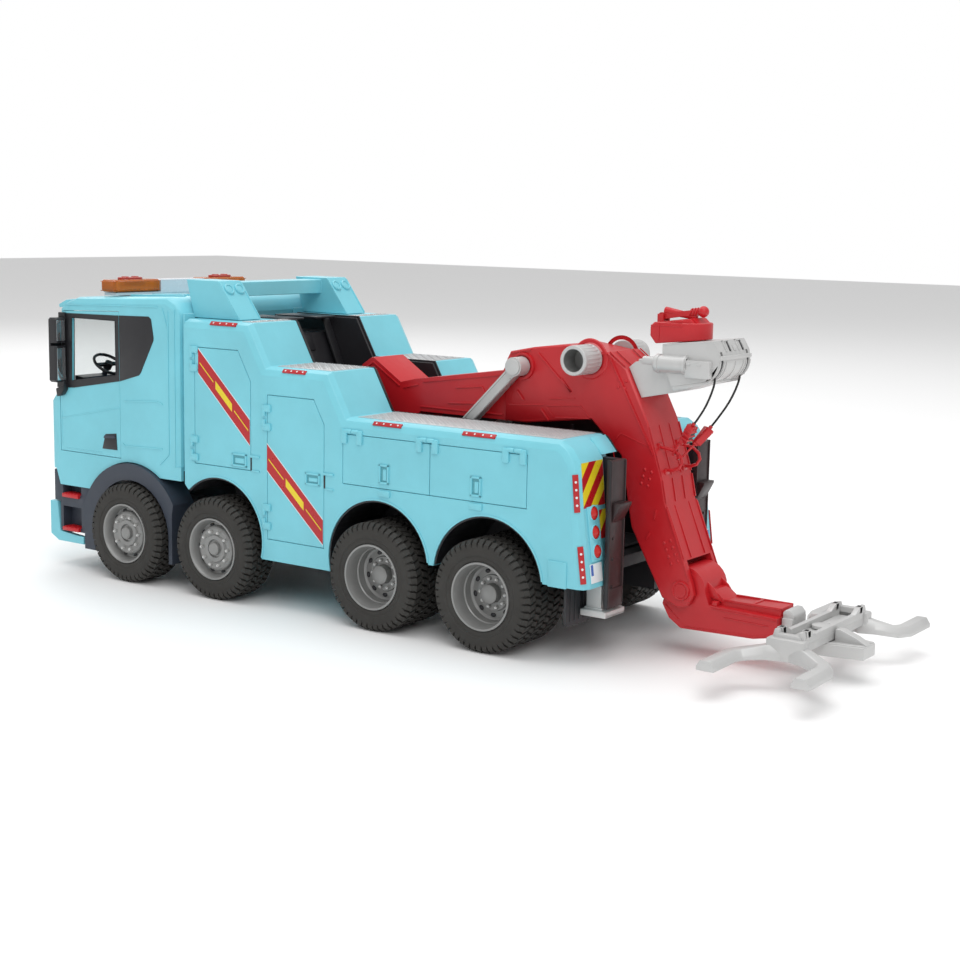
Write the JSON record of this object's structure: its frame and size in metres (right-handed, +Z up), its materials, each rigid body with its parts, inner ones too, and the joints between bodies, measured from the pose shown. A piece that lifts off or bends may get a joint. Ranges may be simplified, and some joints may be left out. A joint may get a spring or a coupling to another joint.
{
  "type": "toy recovery truck",
  "caption": "Toy heavy recovery truck with opening cab and locker doors, a lifting crane boom with winch ropes, and a folding underlift with wheel cradles.",
  "frame": {"origin": "on the floor, under the middle of the overall length and width", "axes": "+X towards the front of the cab, +Y towards the truck's left side, +Z up"},
  "size_m": [0.5914, 0.175, 0.208],
  "materials": {
    "body_blue": "satin turquoise moulding",
    "boom_red": "satin red moulding",
    "metallic_grey": "fine grained silver moulding",
    "chassis_black": "matte",
    "fender_grey": "satin",
    "tyre": "matte",
    "rim": "satin grey",
    "lens_amber": "clear gloss",
    "button_red": "gloss",
    "bar_white": "gloss",
    "windscreen": "clear",
    "rope": "twisted cord"
  },
  "bodies": {
    "truck": {"chassis_frame": "chassis_black", "bay_liner": "chassis_black", "side_body_left": "body_blue", "side_body_right": "body_blue", "cab_shell": "body_blue", "cab_glazing": "windscreen", "cab_interior": "chassis_black", "front_bumper": "body_blue", "front_fenders": "fender_grey", "light_bar": "bar_white", "amber_lens_left": "lens_amber", "amber_lens_right": "lens_amber", "roll_bar_arch": "body_blue"},
    "wheelset_1": {"axle_1": "rim", "tyre_1_left": "tyre", "tyre_1_right": "tyre"},
    "wheelset_2": {"axle_2": "rim", "tyre_2_left": "tyre", "tyre_2_right": "tyre"},
    "wheelset_3": {"axle_3": "rim", "tyre_3_left": "tyre", "tyre_3_right": "tyre"},
    "wheelset_4": {"axle_4": "rim", "tyre_4_left": "tyre", "tyre_4_right": "tyre"},
    "cab_door_left": {"cab_door_left": "body_blue"},
    "mirror_left": {"mirror_left": "chassis_black"},
    "siren_button_left": {"siren_button_left": "button_red"},
    "locker_1_left": {"locker_1_left": "body_blue"},
    "locker_2_left": {"locker_2_left": "body_blue"},
    "flap_3_left": {"flap_3_left": "body_blue"},
    "flap_4_left": {"flap_4_left": "body_blue"},
    "support_foot_left": {"support_foot_left": "metallic_grey"},
    "cab_door_right": {"cab_door_right": "body_blue"},
    "mirror_right": {"mirror_right": "chassis_black"},
    "siren_button_right": {"siren_button_right": "button_red"},
    "locker_1_right": {"locker_1_right": "body_blue"},
    "locker_2_right": {"locker_2_right": "body_blue"},
    "flap_3_right": {"flap_3_right": "body_blue"},
    "flap_4_right": {"flap_4_right": "body_blue"},
    "support_foot_right": {"support_foot_right": "metallic_grey"},
    "steering_wheel": {"steering_wheel": "chassis_black"},
    "boom": {"boom": "boom_red", "crane_head": "metallic_grey", "head_cover": "boom_red", "hook_left": "boom_red", "hook_right": "boom_red", "rope_left": "rope", "rope_right": "rope"},
    "strut_left": {"strut_left": "metallic_grey"},
    "winch_knob_left": {"winch_knob_left": "metallic_grey"},
    "strut_right": {"strut_right": "metallic_grey"},
    "winch_knob_right": {"winch_knob_right": "metallic_grey"},
    "head_lever": {"head_lever": "boom_red"},
    "underlift_arm": {"underlift_arm": "boom_red"},
    "fork_slide": {"fork_slide": "metallic_grey"},
    "fork": {"crossbar": "metallic_grey", "wheel_grid_left": "metallic_grey", "wheel_grid_right": "metallic_grey"}
  },
  "joints": [
    {"name": "wheelset_1_roll", "type": "hinge", "parent": "truck", "child": "wheelset_1", "pos_m": [0.21045, 0, 0.034], "axis": [0, 1, 0], "continuous": true},
    {"name": "wheelset_2_roll", "type": "hinge", "parent": "truck", "child": "wheelset_2", "pos_m": [0.12765, 0, 0.034], "axis": [0, 1, 0], "continuous": true},
    {"name": "wheelset_3_roll", "type": "hinge", "parent": "truck", "child": "wheelset_3", "pos_m": [-0.00565, 0, 0.034], "axis": [0, 1, 0], "continuous": true},
    {"name": "wheelset_4_roll", "type": "hinge", "parent": "truck", "child": "wheelset_4", "pos_m": [-0.08725, 0, 0.034], "axis": [0, 1, 0], "continuous": true},
    {"name": "cab_door_left_hinge", "type": "hinge", "parent": "truck", "child": "cab_door_left", "pos_m": [0.28275, 0.077, 0.084], "axis": [0, 0, -1], "range_deg": [0, 70]},
    {"name": "mirror_left_fold", "type": "hinge", "parent": "cab_door_left", "child": "mirror_left", "pos_m": [0.28225, 0.0786, 0.132], "axis": [0, 0, -1], "range_deg": [0, 20]},
    {"name": "siren_button_left_press", "type": "slide", "parent": "truck", "child": "siren_button_left", "axis": [0, 0, -1], "range_m": [0, 0.001], "stiffness_N_per_m": 400},
    {"name": "locker_1_left_hinge", "type": "hinge", "parent": "truck", "child": "locker_1_left", "pos_m": [0.14875, 0.0799, 0.1], "axis": [0, 0, -1], "range_deg": [0, 100]},
    {"name": "locker_2_left_hinge", "type": "hinge", "parent": "truck", "child": "locker_2_left", "pos_m": [0.08475, 0.0799, 0.1], "axis": [0, 0, -1], "range_deg": [0, 100]},
    {"name": "flap_3_left_hinge", "type": "hinge", "parent": "truck", "child": "flap_3_left", "pos_m": [-0.00725, 0.0799, 0.1193], "axis": [1, 0, 0], "range_deg": [0, 100]},
    {"name": "flap_4_left_hinge", "type": "hinge", "parent": "truck", "child": "flap_4_left", "pos_m": [-0.07925, 0.0799, 0.1193], "axis": [1, 0, 0], "range_deg": [0, 100]},
    {"name": "support_foot_left_drop", "type": "slide", "parent": "truck", "child": "support_foot_left", "axis": [0, 0, -1], "range_m": [0, 0.0195]},
    {"name": "cab_door_right_hinge", "type": "hinge", "parent": "truck", "child": "cab_door_right", "pos_m": [0.28275, -0.077, 0.084], "axis": [0, 0, 1], "range_deg": [0, 70]},
    {"name": "mirror_right_fold", "type": "hinge", "parent": "cab_door_right", "child": "mirror_right", "pos_m": [0.28225, -0.0786, 0.132], "axis": [0, 0, 1], "range_deg": [0, 20]},
    {"name": "siren_button_right_press", "type": "slide", "parent": "truck", "child": "siren_button_right", "axis": [0, 0, -1], "range_m": [0, 0.001], "stiffness_N_per_m": 400},
    {"name": "locker_1_right_hinge", "type": "hinge", "parent": "truck", "child": "locker_1_right", "pos_m": [0.14875, -0.0799, 0.1], "axis": [0, 0, 1], "range_deg": [0, 100]},
    {"name": "locker_2_right_hinge", "type": "hinge", "parent": "truck", "child": "locker_2_right", "pos_m": [0.08475, -0.0799, 0.1], "axis": [0, 0, 1], "range_deg": [0, 100]},
    {"name": "flap_3_right_hinge", "type": "hinge", "parent": "truck", "child": "flap_3_right", "pos_m": [-0.00725, -0.0799, 0.1193], "axis": [-1, 0, 0], "range_deg": [0, 100]},
    {"name": "flap_4_right_hinge", "type": "hinge", "parent": "truck", "child": "flap_4_right", "pos_m": [-0.07925, -0.0799, 0.1193], "axis": [-1, 0, 0], "range_deg": [0, 100]},
    {"name": "support_foot_right_drop", "type": "slide", "parent": "truck", "child": "support_foot_right", "axis": [0, 0, -1], "range_m": [0, 0.0195]},
    {"name": "steering_turn", "type": "hinge", "parent": "truck", "child": "steering_wheel", "pos_m": [0.26675, 0.046, 0.144], "axis": [-0.5736, 0, 0.8192], "continuous": true},
    {"name": "boom_lift", "type": "hinge", "parent": "truck", "child": "boom", "pos_m": [0.04475, 0, 0.117], "axis": [0, 1, 0], "range_deg": [0, 12]},
    {"name": "strut_left_swing", "type": "hinge", "parent": "boom", "child": "strut_left", "pos_m": [-0.06945, 0.0232, 0.1636], "axis": [0, 1, 0], "range_deg": [0, 18]},
    {"name": "winch_knob_left_turn", "type": "hinge", "parent": "boom", "child": "winch_knob_left", "pos_m": [-0.11695, 0.0286, 0.171], "axis": [0, 1, 0], "continuous": true},
    {"name": "strut_right_swing", "type": "hinge", "parent": "boom", "child": "strut_right", "pos_m": [-0.06945, -0.0232, 0.1636], "axis": [0, 1, 0], "range_deg": [0, 18]},
    {"name": "winch_knob_right_turn", "type": "hinge", "parent": "boom", "child": "winch_knob_right", "pos_m": [-0.11695, -0.0286, 0.171], "axis": [0, 1, 0], "continuous": true},
    {"name": "head_lever_lift", "type": "hinge", "parent": "boom", "child": "head_lever", "pos_m": [-0.15485, 0, 0.1974], "axis": [0, 1, 0], "range_deg": [0, 75]},
    {"name": "underlift_fold", "type": "hinge", "parent": "boom", "child": "underlift_arm", "pos_m": [-0.18305, 0, 0.04], "axis": [0, 1, 0], "range_deg": [0, 80]},
    {"name": "fork_reach", "type": "slide", "parent": "underlift_arm", "child": "fork_slide", "axis": [-1, 0, 0], "range_m": [0, 0.02]},
    {"name": "fork_swivel", "type": "hinge", "parent": "fork_slide", "child": "fork", "pos_m": [-0.26325, 0, 0.024], "axis": [0, 0, 1], "range_deg": [-20, 20]}
  ],
  "couplings": [
    {"joint": "strut_left_swing", "follows": "boom_lift", "ratio": 1.43},
    {"joint": "strut_right_swing", "follows": "boom_lift", "ratio": 1.43}
  ]
}
